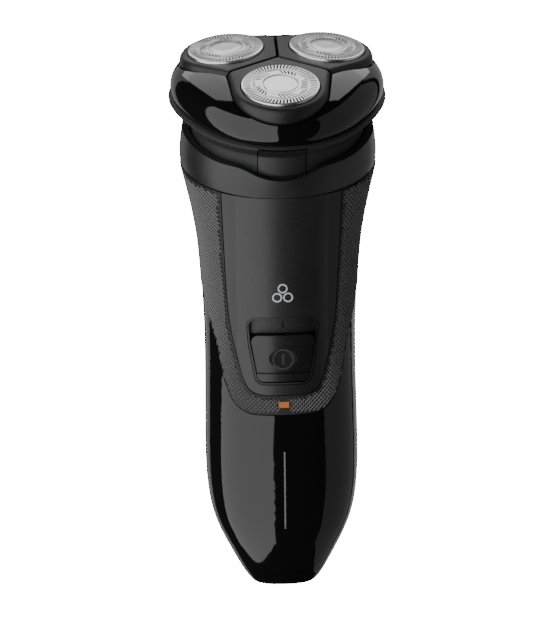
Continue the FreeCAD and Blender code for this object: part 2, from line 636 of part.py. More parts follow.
def build_neck():
    neck = neck_outer(0)
    chamber = neck_outer(1.6).common(disc(FAR, CHAMBER_FLOOR, 0))
    below = Part.makeSphere(BALL_RADIUS - SKIRT_WALL, V(0, 0, PIVOT))
    below = below.common(disc(FAR, SKIRT_LOW - 1, CHAMBER_FLOOR_LOW))
    neck = neck.cut(chamber).cut(below).cut(disc(4.7, -30, 0))
    tab_slot = box(-TAB_HALF - 0.25, TAB_HALF + 0.25, -40, -20, TAB_LOW - 0.3, TAB_HIGH + 0.3)
    neck = neck.cut(tab_slot)
    for angle in PETAL_ANGLES:
        neck = neck.cut(disc(1.1 + RUNNING, -30, 0).translated(polar(CUTTER_CIRCLE, angle)))
    neck = neck.cut(cylinder(1.0 + RUNNING, V(-AXLE_REACH - 0.2, 0, PIVOT), 2 * AXLE_REACH + 0.4, X_AXIS))
    ears = []
    for knuckle in hinge_knuckles(1.7, ((-9.0, -5.2), (5.2, 9.0))):
        centre = knuckle.BoundBox.Center
        foot = box(centre.x - 1.9, centre.x + 1.9, 29.0, HINGE_Y + 1.0, -16.5, HINGE_W)
        ears.append(knuckle.fuse(foot.cut(chamber)))
    for ear in ears:
        neck = neck.fuse(ear.cut(disc(29.6, HINGE_W, 0)))
    neck = neck.cut(cylinder(0.8, V(-FAR, HINGE_Y, HINGE_W), 2 * FAR, X_AXIS))
    opening_room = cylinder(2.1, V(-5.1, HINGE_Y, HINGE_W), 10.2, X_AXIS)
    neck = neck.cut(opening_room)
    save("neck", in_head(neck))
    save("head_hinge_pin", in_head(cylinder(0.8, V(-9.4, HINGE_Y, HINGE_W), 18.8, X_AXIS)))

    tab = box(-TAB_HALF, TAB_HALF, -40, -20, TAB_LOW, TAB_HIGH)
    tab = tab.common(neck_outer(-0.35)).cut(neck_outer(2.2))
    save("release_tab", in_head(tab))

    tower = ring(TOWER_RADIUS, 7.0, DECK_HIGH, TOWER_TOP)
    tower = tower.cut(ring(14.0, 9.0, DECK_HIGH - 1, TOWER_TOP - 2.0))
    deck_ends = [oval_wire(level, 25.4, 23.6, 23.4) for level in (DECK_LOW, DECK_HIGH)]
    deck = Part.makeLoft(deck_ends, True)
    deck = deck.cut(disc(7.0, -40, 0)).fuse(tower)
    for angle in (45, 135, 225, 315):
        deck = deck.cut(disc(1.1, -40, 0).translated(polar(20.5, angle)))
    for sign in (-1, 1):
        deck = deck.cut(cylinder(1.0 + RUNNING, V(0, sign * (TOWER_RADIUS - 3.0), PIVOT), 8.0, V(0, sign, 0)))
    save("neck_mount", in_head(deck.removeSplitter()))
    screws = []
    for angle in (45, 135, 225, 315):
        screw = pan_screw(2.1, 1.1, 1.2, 3.2)
        screw.rotate(V(0, 0, 0), X_AXIS, 180)
        screws.append(screw.translated(polar(20.5, angle, DECK_HIGH + 1.2)))
    save("mount_screws", in_head(Part.makeCompound(screws)))

    gimbal = ring(GIMBAL_OUTER, GIMBAL_INNER, PIVOT - GIMBAL_HALF, PIVOT + GIMBAL_HALF)
    axles = []
    for axis, start, end in ((Y_AXIS, TOWER_RADIUS - 3.0, GIMBAL_OUTER), (X_AXIS, GIMBAL_INNER, AXLE_REACH)):
        for sign in (-1, 1):
            direction = axis * sign
            gimbal = gimbal.cut(cylinder(1.0, V(0, 0, PIVOT), FAR, direction))
            axles.append(cylinder(1.0, V(0, 0, PIVOT) + direction * start, end - start, direction))
    save("gimbal_ring", in_head(gimbal))
    save("gimbal_axles", in_head(Part.makeCompound(axles)))


# ---------------------------------------------------------------- gears

def involute_gear(teeth, phase, low, high):
    """A spur gear with one tooth centred at the angle phase (radians)."""
    pitch = GEAR_MODULE * teeth / 2
    base = pitch * math.cos(PRESSURE_ANGLE)
    tip = pitch + GEAR_MODULE
    root = pitch - 1.25 * GEAR_MODULE
    half_tooth = (math.pi * GEAR_MODULE / 2 - BACKLASH) / (2 * pitch)
    pitch_involute = math.tan(PRESSURE_ANGLE) - PRESSURE_ANGLE
    flank = [(root, half_tooth + pitch_involute + 0.02)]
    for step in range(5):
        radius = max(base, root) + (tip - max(base, root)) * step / 4
        turn = math.acos(min(1.0, base / radius))
        flank.append((radius, half_tooth + pitch_involute - (math.tan(turn) - turn)))
    points = []
    for tooth in range(teeth):
        centre = phase + 2 * math.pi * tooth / teeth
        for radius, half in flank:
            points.append(polar(radius, math.degrees(centre - half)))
        for radius, half in reversed(flank):
            points.append(polar(radius, math.degrees(centre + half)))
    gear = prism(points, V(0, 0, low), V(0, 0, high - low))
    return gear


def planet_phase(direction):
    """Where a planet's tooth sits so that it meshes with the central gear's tooth at angle 0."""
    pitch_angle = 2 * math.pi / CENTRAL_TEETH
    offset = (-direction + pitch_angle / 2) % pitch_angle - pitch_angle / 2
    central_radius = GEAR_MODULE * CENTRAL_TEETH / 2
    planet_radius = GEAR_MODULE * PLANET_TEETH / 2
    return direction + math.pi - (offset * central_radius + math.pi * GEAR_MODULE / 2) / planet_radius


def build_gears():
    central = involute_gear(CENTRAL_TEETH, 0.0, GEAR_LOW, GEAR_HIGH)
    hub = disc(4.4, -27.0, GEAR_LOW)
    central = central.fuse(hub).cut(hexagon(6.0, -28.0, -20.5)).removeSplitter()
    save("central_gear", in_head(central))
    for name, angle in zip(PETAL_NAMES, PETAL_ANGLES):
        centre = polar(CUTTER_CIRCLE, angle)
        gear = involute_gear(PLANET_TEETH, planet_phase(math.radians(angle)), GEAR_LOW, GEAR_HIGH)
        shaft = disc(1.6, GEAR_LOW, -7.0).fuse(disc(1.1, -18.0, GEAR_LOW)).fuse(hexagon(3.2, -7.0, -4.0))
        gear = gear.fuse(shaft).removeSplitter().translated(centre)
        save(name + "_planet_gear", in_head(gear))
        save(name + "_spring", in_head(spring(2.2, 0.25, -11.6, -7.6, 4).translated(centre)))
    cover = disc(27.4, -13.3, -12.7)
    cover = cover.cut(disc(3.0, -20, 0))
    for angle in PETAL_ANGLES:
        cover = cover.cut(disc(1.9, -20, 0).translated(polar(CUTTER_CIRCLE, angle)))
        cover = cover.cut(disc(2.0, -20, 0).translated(polar(22.0, angle + 60)))
    cover = cover.cut(box(-FAR, FAR, -FAR, -25.0, -20, 0))
    save("gear_cover", in_head(cover))


def spring(radius, wire_radius, low, high, turns):
    helix = Part.makeHelix((high - low) / turns, high - low, radius)
    profile = Part.Wire(Part.makeCircle(wire_radius, V(radius, 0, 0), Y_AXIS))
    coil = Part.Wire(helix.Edges).makePipeShell([profile], True, True)
    return coil.translated(V(0, 0, low))


# ---------------------------------------------------------------- top frame, holders and cutters

HOLDER_CORNER_OUT = 9.2
HOLDER_ARC_CENTRE = 17.8
HOLDER_ARC_RADIUS = 14.0
CAP_HOLE = CAP_RADIUS + 0.25
LEDGE_THICKNESS = 1.5
FRAME_LEVELS = ((RIM, 31.2, 1.5), (-10.5, 31.8, 1.6), (-8.0, 31.4, 1.6), (-5.6, 29.9, 1.5), (-3.6, 26.6, 1.0),
                (-2.2, 22.3, 0.4), (-1.4, 18.0, 0.1), (-1.1, 14.0, 0.0))
OUTER_SLOTS = 40
INNER_SLOTS = 24
ROTOR_BLADES = 9


def holder_face(growth):
    """Plan of one cutter holder; X points away from the head axis."""
    slope = math.tan(math.radians(60))
    clear = HOLDER_GAP / math.sin(math.radians(60))
    apex = V(clear, 0, 0)
    corner = V(HOLDER_CORNER_OUT, (HOLDER_CORNER_OUT - clear) * slope, 0)
    reach = corner.sub(V(HOLDER_ARC_CENTRE, 0, 0))
    bearing = math.atan2(reach.y, reach.x) - math.acos(HOLDER_ARC_RADIUS / reach.Length)
    tangent = V(HOLDER_ARC_CENTRE, 0, 0).add(polar(HOLDER_ARC_RADIUS, math.degrees(bearing)))
    far_point = V(HOLDER_ARC_CENTRE + HOLDER_ARC_RADIUS, 0, 0)

    def flip(point):
        return V(point.x, -point.y, point.z)

    edges = [Part.makeLine(apex, corner), Part.makeLine(corner, tangent),
             Part.Arc(tangent, far_point, flip(tangent)).toShape(),
             Part.makeLine(flip(tangent), flip(corner)), Part.makeLine(flip(corner), apex)]
    face = Part.Face(Part.Wire(edges))
    return face.makeOffset2D(growth) if growth else face


def holder_frame(angle):
    """Placement of one holder's own frame: X outwards, Z along the leaning cutter axis."""
    turn = FreeCAD.Rotation(Z_AXIS, angle)
    lean = FreeCAD.Rotation(Y_AXIS, CUTTER_LEAN)
    return FreeCAD.Placement(polar(CUTTER_CIRCLE, angle), turn.multiply(lean))


def in_holder(shape, angle):
    return in_head(placed(shape, holder_frame(angle)))


def holder_outer(inset):
    solid = holder_face(-inset).extrude(V(0, 0, 12))
    solid.translate(V(-CUTTER_CIRCLE, 0, HOLDER_TOP - inset - 12))
    return solid


def round_holder_top(solid):
    """Round the outer shoulder generously and the inner edges a little."""
    shoulder_start = HOLDER_CORNER_OUT - CUTTER_CIRCLE
    for is_outer, radius in ((True, 2.2), (False, 0.45)):
        top = [edge for edge in solid.Edges if edge.BoundBox.ZMin > HOLDER_TOP - 0.01]
        edges = [edge for edge in top if (edge.BoundBox.Center.x > shoulder_start) == is_outer]
        if edges:
            solid = solid.makeFillet(radius, edges)
    return solid


def build_holder(name, angle):
    frame = holder_frame(angle)
    below = box(-FAR, FAR, -FAR, FAR, HOLDER_SKIRT - FAR, HOLDER_SKIRT)
    sector = holder_face(0).extrude(V(0, 0, 40))
    sector.translate(V(0, 0, -20))
    wedge = sector.fuse(box(HOLDER_CORNER_OUT, FAR, -FAR, FAR, -20, 20))
    turned = FreeCAD.Placement(V(0, 0, 0), FreeCAD.Rotation(Z_AXIS, angle))
    outer = placed(round_holder_top(holder_outer(0)), frame).cut(below).common(placed(wedge, turned))
    hollow = placed(holder_outer(HOLDER_WALL), frame)
    inner_wedge = wedge.translated(V(HOLDER_WALL * 2, 0, 0))
    holder = outer.cut(hollow.common(placed(inner_wedge, turned)))
    holder = holder.cut(placed(disc(CAP_HOLE, -20, 5), frame))
    save(name + "_holder", in_head(holder.removeSplitter()))


def slots(count, inner, outer, width, slant):
    """Radial slots through the cap, each slanted by a few degrees."""
    cuts = []
    for index in range(count):
        slot = box(inner, outer, -width / 2, width / 2, -3, 3)
        slot.rotate(V((inner + outer) / 2, 0, 0), Z_AXIS, slant)
        slot.rotate(V(0, 0, 0), Z_AXIS, 360.0 * index / count)
        cuts.append(slot)
    return Part.makeCompound(cuts)


def build_cap(name, angle):
    """A thin metal cap: two slotted tracks with a groove between them and a centre dome."""
    underside = ((0, -0.9), (4.6, -0.9), (5.2, -0.75), (5.2, -0.35), (8.15, -0.35), (8.15, -0.75),
                 (8.45, -0.75), (8.45, -0.35), (10.9, -0.35), (10.9, -4.4))
    topside = ((CAP_RADIUS, -4.4), (CAP_RADIUS, -0.45), (10.95, 0.0), (8.6, 0.0), (8.4, -0.35),
               (8.2, -0.35), (8.0, 0.0), (5.3, 0.0), (5.1, -0.4), (4.9, -0.4), (4.6, -0.05),
               (2.5, 0.1), (0, 0.1))
    corners = [V(x, 0, z) for x, z in underside + topside]
    profile = Part.Face(Part.makePolygon(corners + [corners[0]]))
    cap = profile.revolve(V(0, 0, 0), Z_AXIS, 360)
    cap = cap.cut(slots(OUTER_SLOTS, 8.75, 10.75, 0.3, 8))
    cap = cap.cut(slots(INNER_SLOTS, 5.9, 7.8, 0.3, 30))
    flange = ring(12.0, CAP_RADIUS, -4.4, -3.8)
    save(name + "_cutter_cap", in_holder(cap.fuse(flange).removeSplitter(), angle))


def build_inner_cutter(name, angle):
    """The spinning inner cutter: a carrier with two rows of blades and a hexagonal socket."""
    cutter = disc(8.0, -3.0, -2.2).fuse(disc(4.4, -5.6, -2.2))
    for index in range(ROTOR_BLADES):
        for inner, outer in ((5.6, 7.8), (8.8, 10.4)):
            blade = box(inner, outer, -0.25, 0.25, -2.2, -0.55)
            arm = box(7.4, 10.4, -0.6, 0.6, -3.0, -2.2)
            pair = blade.fuse(arm)
            pair.rotate(V(0, 0, 0), Z_AXIS, 360.0 * index / ROTOR_BLADES)
            cutter = cutter.fuse(pair)
    cutter = cutter.cut(hexagon(5.4, -6.0, -3.3))
    save(name + "_inner_cutter", in_holder(cutter.removeSplitter(), angle))


def build_retainer(name, angle):
    """The ring under each cap that keeps the inner cutter in its holder."""
    retainer = ring(12.0, 10.6, -5.4, -4.4).fuse(ring(5.9, 4.7, -5.4, -4.4))
    for spoke in range(3):
        arm = box(5.5, 11.0, -0.7, 0.7, -5.4, -4.4)
        arm.rotate(V(0, 0, 0), Z_AXIS, 120 * spoke)
        retainer = retainer.fuse(arm)
    save(name + "_retainer", in_holder(retainer.removeSplitter(), angle))


CATCH_HALF = 2.0
CATCH_LOW = -7.8
CATCH_PIN = CATCH_LOW + 1.4


def build_top_frame():
    frame = lobed_solid(FRAME_LEVELS)
    ceiling = LEDGE - LEDGE_THICKNESS
    hollow = Part.Face(lobed_wire(RIM - 1, 29.6, 1.5)).extrude(V(0, 0, ceiling - RIM + 1))
    frame = frame.cut(hollow)
    well = holder_face(HOLDER_GAP).extrude(V(0, 0, 20))
    well.translate(V(0, 0, LEDGE))
    for angle in PETAL_ANGLES:
        turned = FreeCAD.Placement(V(0, 0, 0), FreeCAD.Rotation(Z_AXIS, angle))
        frame = frame.cut(placed(well, turned))
        passage = disc(12.6, -20, LEDGE + 1).translated(polar(CUTTER_CIRCLE, angle))
        frame = frame.cut(passage)
    knuckle = hinge_knuckles(1.7, ((-4.9, 4.9),))[0]
    foot = box(-4.9, 4.9, 29.0, HINGE_Y, HINGE_W + 0.1, -9.0)
    pin_hole = cylinder(0.8 + RUNNING, V(-FAR, HINGE_Y, HINGE_W), 2 * FAR, X_AXIS)
    frame = frame.fuse(knuckle.fuse(foot)).cut(pin_hole)
    for x0 in (-9.2, 4.9):
        frame = frame.cut(cylinder(2.0, V(x0, HINGE_Y, HINGE_W), 4.3, X_AXIS))
    frame = frame.cut(box(-CATCH_HALF - 0.2, CATCH_HALF + 0.2, 22.4, 27.4, CATCH_LOW, 0))
    save("top_frame", in_head(frame))
    catch = box(-CATCH_HALF, CATCH_HALF, 22.6, 27.2, CATCH_LOW, CATCH_LOW + 2.4)
    catch = catch.fuse(box(-0.9, 0.9, 22.6, 26.2, CATCH_LOW, CATCH_LOW + 3.2))
    catch = catch.cut(cylinder(0.6, V(-FAR, 25.6, CATCH_PIN), 2 * FAR, X_AXIS))
    pin = cylinder(0.6, V(-CATCH_HALF - 0.1, 25.6, CATCH_PIN), 2 * CATCH_HALF + 0.2, X_AXIS)
    save("frame_catch", in_head(Part.makeCompound([catch.removeSplitter(), pin])))


def build_head():
    build_top_frame()
    for name, angle in zip(PETAL_NAMES, PETAL_ANGLES):
        build_holder(name, angle)
        build_cap(name, angle)
        build_inner_cutter(name, angle)
        build_retainer(name, angle)


build_housings()
build_base()
build_skins()
build_switch()
build_electrics()
build_motor()
build_trimmer()
build_collar()
build_neck()
build_gears()
build_head()
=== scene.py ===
import json
import math

import bpy
import bmesh
from mathutils import Matrix, Vector
from mathutils.bvhtree import BVHTree


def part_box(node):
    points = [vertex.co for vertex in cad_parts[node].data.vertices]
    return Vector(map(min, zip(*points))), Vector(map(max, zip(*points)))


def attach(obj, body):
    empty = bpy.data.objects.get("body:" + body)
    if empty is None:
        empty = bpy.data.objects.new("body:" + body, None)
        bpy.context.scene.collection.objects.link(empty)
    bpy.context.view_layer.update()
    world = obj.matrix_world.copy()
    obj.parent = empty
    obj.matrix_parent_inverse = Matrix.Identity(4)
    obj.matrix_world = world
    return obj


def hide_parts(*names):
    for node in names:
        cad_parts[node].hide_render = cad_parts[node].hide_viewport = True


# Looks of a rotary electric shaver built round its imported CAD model. +Z up, front towards -Y.
# Sizes of the added detail are in millimetres, times MM where they meet the scene, which is in metres.

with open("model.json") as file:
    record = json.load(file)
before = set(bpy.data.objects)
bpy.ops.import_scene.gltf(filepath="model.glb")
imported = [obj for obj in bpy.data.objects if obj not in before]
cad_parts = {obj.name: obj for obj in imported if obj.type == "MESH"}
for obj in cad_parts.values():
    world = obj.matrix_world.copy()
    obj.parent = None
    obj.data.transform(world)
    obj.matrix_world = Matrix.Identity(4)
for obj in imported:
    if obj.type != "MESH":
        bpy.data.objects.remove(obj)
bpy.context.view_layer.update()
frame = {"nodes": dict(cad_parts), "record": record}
NODES = frame["nodes"]
JOINTS = {joint["name"]: joint for joint in frame["record"]["behaviour"]["joints"]}
MM = 0.001
SIDES = ("front", "right", "left")


# ---------------------------------------------------------------- node helpers

def new_material(name):
    material = bpy.data.materials.new(name)
    material.use_nodes = True
    tree = material.node_tree
    return material, tree.nodes, tree.links, tree.nodes["Principled BSDF"]


def set_values(shader, **values):
    for name, value in values.items():
        shader.inputs[name.replace("_", " ")].default_value = value


def noise(nodes, links, scale, detail=4.0, stretch=None):
    """A noise texture in object space, stretched along an axis for brushed grain."""
    coordinates = nodes.new("ShaderNodeTexCoord")
    texture = nodes.new("ShaderNodeTexNoise")
    texture.inputs["Scale"].default_value = scale
    texture.inputs["Detail"].default_value = detail
    source = coordinates.outputs["Object"]
    if stretch:
        mapping = nodes.new("ShaderNodeMapping")
        mapping.inputs["Scale"].default_value = stretch
        links.new(source, mapping.inputs["Vector"])
        source = mapping.outputs["Vector"]
    links.new(source, texture.inputs["Vector"])
    return texture


def ramp(nodes, links, source, low, high, start=0.35, end=0.65):
    node = nodes.new("ShaderNodeValToRGB")
    node.color_ramp.elements[0].position = start
    node.color_ramp.elements[0].color = low
    node.color_ramp.elements[1].position = end
    node.color_ramp.elements[1].color = high
    links.new(source, node.inputs["Fac"])
    return node


def bump(nodes, links, source, shader, strength, distance):
    node = nodes.new("ShaderNodeBump")
    node.inputs["Strength"].default_value = strength
    node.inputs["Distance"].default_value = distance
    links.new(source, node.inputs["Height"])
    links.new(node.outputs["Normal"], shader.inputs["Normal"])


def grey(value):
    return (value, value, value, 1.0)


PLASTIC_IOR = 1.5
WANDER_SCALE = 60.0


def plastic(name, tone, roughness, spread=0.0, grain_scale=0.0, grain_depth=0.0,
            stretch=None, tone_spread=0.0, tint=(1.0, 1.0, 1.0)):
    """Moulded plastic: its tone and roughness wander a little, and its surface may have a fine grain."""
    material, nodes, links, shader = new_material(name)
    set_values(shader, IOR=PLASTIC_IOR)
    base = tuple(tone * part for part in tint)
    wander = noise(nodes, links, WANDER_SCALE, 3.0)
    if tone_spread:
        low = tuple(part * (1 - tone_spread) for part in base) + (1.0,)
        high = tuple(part * (1 + tone_spread) for part in base) + (1.0,)
        source = noise(nodes, links, grain_scale, 2.0, stretch) if grain_scale else wander
        colour = ramp(nodes, links, source.outputs["Fac"], low, high)
        links.new(colour.outputs["Color"], shader.inputs["Base Color"])
    else:
        set_values(shader, Base_Color=base + (1.0,))
    if spread:
        rough = ramp(nodes, links, wander.outputs["Fac"], grey(roughness - spread), grey(roughness + spread))
        links.new(rough.outputs["Color"], shader.inputs["Roughness"])
    else:
        set_values(shader, Roughness=roughness)
    if grain_depth:
        grain = noise(nodes, links, grain_scale, 3.0, stretch)
        bump(nodes, links, grain.outputs["Fac"], shader, 0.6, grain_depth)
    return material


METAL_GRAIN_SCALE = 14000.0
METAL_GRAIN_DEPTH = 0.000002


def metal(name, tone, roughness):
    """Satin metal with a very fine grain in its tone, roughness and height."""
    material, nodes, links, shader = new_material(name)
    set_values(shader, Metallic=1.0)
    grain = noise(nodes, links, METAL_GRAIN_SCALE)
    colour = ramp(nodes, links, grain.outputs["Fac"], grey(tone * 0.94), grey(tone))
    links.new(colour.outputs["Color"], shader.inputs["Base Color"])
    rough = ramp(nodes, links, grain.outputs["Fac"], grey(roughness * 0.8), grey(roughness * 1.25))
    links.new(rough.outputs["Color"], shader.inputs["Roughness"])
    bump(nodes, links, grain.outputs["Fac"], shader, 0.1, METAL_GRAIN_DEPTH)
    return material


def glow(name, colour, strength, base):
    material, nodes, links, shader = new_material(name)
    set_values(shader, Base_Color=base, Roughness=0.22, Emission_Color=colour, Emission_Strength=strength)
    return material


GLOSS = plastic("gloss_black_plastic", 0.004, 0.045, 0.01)
BOWL_GLOSS = plastic("gloss_black_frame", 0.004, 0.05, 0.01)
SATIN = plastic("brushed_satin_panel", 0.015, 0.30, 0.03, grain_scale=7000.0, grain_depth=0.000006,
                stretch=(1.0, 1.0, 0.03), tone_spread=0.12)
COLLAR = plastic("satin_collar", 0.014, 0.36, 0.04, grain_scale=7000.0, grain_depth=0.000006)
NECK = plastic("matte_neck", 0.014, 0.60, 0.05, grain_scale=7000.0, grain_depth=0.000010,
               tint=(0.93, 1.0, 0.97))
TAB = plastic("release_tab_plastic", 0.011, 0.45, 0.04, grain_scale=7000.0, grain_depth=0.000006)
RUBBER = plastic("knurled_rubber", 0.095, 0.36, 0.05, grain_scale=8000.0, grain_depth=0.000008)
# Near-black rubber: on the grip it shows through the open middle of each knurl pit as painted shade; on the
# base seal it is the seal's own dark tone.
DARK_RUBBER_AND_PIT_SHADE = plastic("dark_rubber_and_painted_pit_shade", 0.006, 0.60, 0.05, grain_scale=8000.0, grain_depth=0.000008)
HOLDER = plastic("holder_grain", 0.008, 0.42, 0.05, grain_scale=6500.0, grain_depth=0.000022)
SWITCH = plastic("switch_plastic", 0.010, 0.24, 0.03, grain_scale=7000.0, grain_depth=0.000004)
TRAY = plastic("tray_plastic", 0.010, 0.42, 0.04, grain_scale=7000.0, grain_depth=0.000008)
INNER = plastic("inner_frame_plastic", 0.10, 0.5, 0.05, grain_scale=5000.0, grain_depth=0.000008)
WHITE = plastic("acetal", 0.62, 0.35, 0.04, grain_scale=5000.0, grain_depth=0.000004)
BOARD = plastic("board_laminate", 0.05, 0.35, 0.05, grain_scale=700.0, tone_spread=0.2,
                tint=(0.35, 1.0, 0.45))
CAP_METAL = metal("satin_cap_metal", 0.80, 0.28)
STEEL = metal("steel", 0.58, 0.30)
CELL = plastic("cell_sleeve", 0.22, 0.3, 0.05, tint=(0.5, 0.8, 1.0))
CONTACT = metal("contact_metal", 0.78, 0.18)
# Near-black painted shade: a sheet seen through the cap's slots, and discs standing in for the dimples.
SLOT_PAINTED_SHADE = plastic("slot_shadow", 0.003, 0.6, 0.05)
# Lighter than the slider: a painted highlight standing in for the lit edges of the embossed power symbol.
SYMBOL_PAINTED_HIGHLIGHT = plastic("symbol_painted_highlight", 0.045, 0.20, 0.03)
INK = plastic("engraved_ink", 0.003, 0.25, 0.03)
PALE_PRINT = plastic("pale_print", 0.62, 0.35, 0.04, tint=(0.86, 0.96, 1.0))
GREY_PRINT = plastic("grey_print", 0.16, 0.35, 0.04)
AMBER = glow("amber_window", (1.0, 0.36, 0.10, 1.0), 0.10, (0.42, 0.13, 0.05, 1.0))


PANEL_EDGE = 13.8              # from the middle of the panel to its glossy side strips
EDGE_BLUR = 0.05


def add_gloss_edges(material):
    """Turns the panel glossy and black beyond a straight line near each side."""
    nodes = material.node_tree.nodes
    links = material.node_tree.links
    shader = next(node for node in nodes if node.type == "BSDF_PRINCIPLED")
    place = nodes.new("ShaderNodeTexCoord")
    split = nodes.new("ShaderNodeSeparateXYZ")
    links.new(place.outputs["Object"], split.inputs["Vector"])
    size = nodes.new("ShaderNodeMath")
    size.operation = "ABSOLUTE"
    links.new(split.outputs["X"], size.inputs[0])
    beyond = nodes.new("ShaderNodeMapRange")
    beyond.inputs["From Min"].default_value = (PANEL_EDGE - EDGE_BLUR) * MM
    beyond.inputs["From Max"].default_value = (PANEL_EDGE + EDGE_BLUR) * MM
    links.new(size.outputs["Value"], beyond.inputs["Value"])
    for socket, edge_value in (("Base Color", grey(0.003)), ("Roughness", grey(0.05))):
        source = shader.inputs[socket].links[0].from_socket
        mix = nodes.new("ShaderNodeMix")
        mix.data_type = "RGBA"
        links.new(beyond.outputs["Result"], mix.inputs[0])
        links.new(source, mix.inputs[6])
        mix.inputs[7].default_value = edge_value
        links.new(mix.outputs[2], shader.inputs[socket])


add_gloss_edges(SATIN)


def dress(material, *names):
    for name in names:
        piece = NODES[name]
        piece.data.materials.clear()
        piece.data.materials.append(material)


def each_side(ending):
    return [side + ending for side in SIDES]


def dress_frame():
    dress(GLOSS, "front_housing", "rear_housing", "base_cap", "trimmer_arm", "trimmer_latch")
    dress(BOWL_GLOSS, "top_frame")
    dress(SATIN, "front_panel")
    dress(COLLAR, "collar")
    dress(NECK, "neck", "frame_catch")
    dress(TAB, "release_tab")
    # The grip is painted near black so the knurl pits show painted shade.
    dress(DARK_RUBBER_AND_PIT_SHADE, "grip", "base_seal")
    dress(HOLDER, *each_side("_holder"))
    dress(SWITCH, "power_slider")
    dress(TRAY, "switch_tray", "trimmer_tray", "power_inlet", "slide_switch")
    dress(INNER, "inner_frame", "motor_bracket", "neck_mount", "gimbal_ring", "gear_cover")
    dress(WHITE, "central_gear", "ball_driver", *each_side("_planet_gear"), *each_side("_retainer"))
    dress(BOARD, "circuit_board")
    dress(CAP_METAL, *each_side("_cutter_cap"), *each_side("_inner_cutter"), "trimmer_comb", "trimmer_blade")
    dress(STEEL, "motor_shaft", "motor", "head_hinge_pin", "trimmer_pin", "gimbal_axles", "base_screws",
          "board_screws", "mount_screws", "housing_screws", *each_side("_spring"))
    dress(CELL, "battery")
    dress(CONTACT, "inlet_pins")
    dress(AMBER, "indicator_window", "indicator_led")


# ---------------------------------------------------------------- mesh helpers

def new_piece(name, mesh, material, body):
    piece = bpy.data.objects.new(name, mesh)
    bpy.context.collection.objects.link(piece)
    mesh.materials.append(material)
    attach(piece, body)
    return piece


def mesh_from(name, build, smooth_degrees=None):
    """A mesh made by the function build, which fills an empty bmesh."""
    shape = bmesh.new()
    build(shape)
    bmesh.ops.remove_doubles(shape, verts=shape.verts, dist=0.000002)
    bmesh.ops.recalc_face_normals(shape, faces=shape.faces)
    mesh = bpy.data.meshes.new(name)
    shape.to_mesh(mesh)
    shape.free()
    if smooth_degrees:
        mesh.shade_smooth()
        mesh.set_sharp_from_angle(angle=math.radians(smooth_degrees))
    return mesh


def ring_point(radius, angle, height):
    return Vector((radius * math.cos(angle), radius * math.sin(angle), height)) * MM


def lathe(shape, profile, segments, closed=False):
    """Turns a profile of (radius, height) points about Z."""
    rows = []
    for radius, height in profile:
        if radius == 0:
            centre = shape.verts.new(ring_point(0, 0, height))
            rows.append([centre] * segments)
        else:
            rows.append([shape.verts.new(ring_point(radius, 2 * math.pi * step / segments, height))
                         for step in range(segments)])
    pairs = list(zip(rows, rows[1:])) + ([(rows[-1], rows[0])] if closed else [])
    for low, high in pairs:
        for step in range(segments):
            after = (step + 1) % segments
            corners = []
            for vert in (low[step], low[after], high[after], high[step]):
                if vert not in corners:
                    corners.append(vert)
            if len(corners) > 2:
                shape.faces.new(corners)


def holder_matrix(side):
    """The frame of one cutter: Z along its spin axis, X away from the head's centre."""
    spin = JOINTS[side + "_cutter_spin"]
    tilt = JOINTS[side + "_holder_tilt"]
    up = Vector(spin["axis"])
    across = Vector(tilt["axis"])
    outward = across.cross(up)
    matrix = Matrix((outward, across, up)).transposed().to_4x4()
    matrix.translation = Vector(spin["pos_m"])
    return matrix


# ---------------------------------------------------------------- cutter caps

CAP_RADIUS = 11.4
SLOT_DEPTH = 0.45
OUTER_SLOTS = 64
INNER_SLOTS = 40
OUTER_TRACK = (8.7, 10.8)
INNER_TRACK = (6.0, 7.78)
INNER_SLANT = math.radians(8.0)
SLOT_GROUP = 4
LAND_COUNT = INNER_SLOTS // SLOT_GROUP
LAND_START = (SLOT_GROUP - 1) / 2 / INNER_SLOTS      # the middle of a group of slots, in turns


def bars(shape, inner, outer, count, width, slant, bevel=0.05, keep=None, start=0.0):
    """The lands between slots: slanting bars from an inner to an outer radius."""
    rows = 4
    for index in range(count):
        if keep and not keep(index):
            continue
        middle = 2 * math.pi * (index / count + start)
        strips = []
        for row in range(rows + 1):
            part = row / rows
            radius = inner + (outer - inner) * part
            angle = middle + slant * (part - 0.5)
            half = width * math.pi / count
            edge = bevel / radius
            strip = ((angle - half, -SLOT_DEPTH), (angle - half, -bevel), (angle - half + edge, 0.0),
                     (angle + half - edge, 0.0), (angle + half, -bevel), (angle + half, -SLOT_DEPTH))
            strips.append([shape.verts.new(ring_point(radius, turn, drop)) for turn, drop in strip])
        for low, high in zip(strips, strips[1:]):
            for step in range(len(low) - 1):
                shape.faces.new((low[step], low[step + 1], high[step + 1], high[step]))
        for end in (strips[0], strips[-1]):
            shape.faces.new(end)


